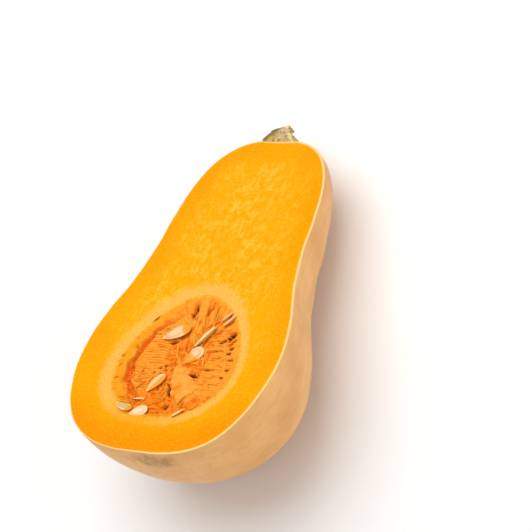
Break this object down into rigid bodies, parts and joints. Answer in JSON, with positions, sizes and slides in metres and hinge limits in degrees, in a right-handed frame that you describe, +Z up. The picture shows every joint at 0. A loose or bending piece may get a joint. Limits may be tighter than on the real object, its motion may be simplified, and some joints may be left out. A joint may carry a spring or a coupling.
{
  "type": "butternut squash half",
  "caption": "Butternut squash cut lengthwise, lying on its back with the cut face up: rind and flesh, stringy seed pulp with seeds, and a corky stem stub.",
  "frame": {"origin": "on the surface that the half rests on, under the middle of its footprint", "axes": "+Z up out of the surface; +Y along the fruit from the blossom end to the stem; +X across the cut face"},
  "size_m": [0.142, 0.2466, 0.1061],
  "materials": {
    "peel": "smooth waxy tan rind with fine speckles",
    "flesh": "moist saturated orange flesh of the cut face, with a paler ring round the seed cavity",
    "pulp": "moist orange fibres",
    "seed": "smooth satin cream seed coat",
    "stem": "dry matt cork, olive to cream"
  },
  "bodies": {
    "root": {"squash_half": "peel", "seed_pulp": "pulp", "stem_stub": "stem"}
  },
  "joints": []
}
